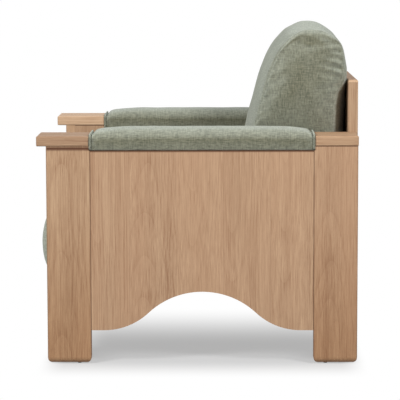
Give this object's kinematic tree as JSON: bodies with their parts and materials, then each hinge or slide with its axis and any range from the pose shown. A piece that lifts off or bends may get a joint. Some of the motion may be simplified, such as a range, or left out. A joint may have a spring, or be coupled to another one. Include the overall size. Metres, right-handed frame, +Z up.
{
  "type": "lounge chair",
  "caption": "Low oak lounge chair with hollow box sides, arched panels, padded arms, a panel back and loose seat and back cushions.",
  "frame": {"origin": "on the floor under the middle of the chair's width and depth", "axes": "+Z up; the chair faces -Y, so the sitter looks along -Y; +X is the sitter's left"},
  "size_m": [0.81, 0.8135, 0.8489],
  "materials": {
    "oak": "matte",
    "beech": "matte",
    "plywood": "matte",
    "zinc_steel": "satin",
    "foam": "matte",
    "sage_weave": "matte",
    "jute": "matte",
    "nylon": "matte",
    "zip": "matte"
  },
  "bodies": {
    "frame": {"front_post_left": "oak", "front_post_right": "oak", "front_face_left": "oak", "front_face_right": "oak", "rear_post_left": "oak", "rear_post_right": "oak", "rear_face_left": "oak", "rear_face_right": "oak", "side_panel_left": "oak", "side_panel_right": "oak", "inner_panel_left": "oak", "inner_panel_right": "oak", "mitre_splines": "plywood", "front_cap_left": "oak", "front_cap_right": "oak", "rear_cap_left": "oak", "rear_cap_right": "oak", "cap_dowels": "beech", "panel_dowels": "beech", "arm_core_left": "plywood", "arm_core_right": "plywood", "arm_cleats": "beech", "cleat_screws": "zinc_steel", "arm_foam_left": "foam", "arm_foam_right": "foam", "arm_cover_left": "sage_weave", "arm_cover_right": "sage_weave", "arm_welt_left": "sage_weave", "arm_welt_right": "sage_weave", "back_panel": "oak", "back_dowels": "beech", "front_rail": "oak", "rear_rail": "beech", "back_screws": "zinc_steel", "seat_bearer_left": "beech", "seat_bearer_right": "beech", "bearer_screws": "zinc_steel", "corner_blocks": "beech", "block_screws": "zinc_steel", "frame_bolts": "zinc_steel", "barrel_nuts": "zinc_steel", "webbing_long": "jute", "webbing_cross": "jute", "webbing_staples": "zinc_steel", "floor_glides": "nylon"},
    "seat_cushion": {"seat_cover": "sage_weave", "seat_core": "foam", "seat_zip": "zip"},
    "back_cushion": {"back_cover": "sage_weave", "back_core": "foam", "back_zip": "zip"}
  },
  "joints": [
    {"name": "seat_lift", "type": "slide", "parent": "frame", "child": "seat_cushion", "axis": [0, 0, 1], "range_m": [0, 0.51]},
    {"name": "back_lift", "type": "slide", "parent": "seat_cushion", "child": "back_cushion", "axis": [0, 0, 1], "range_m": [0, 0.35]}
  ]
}
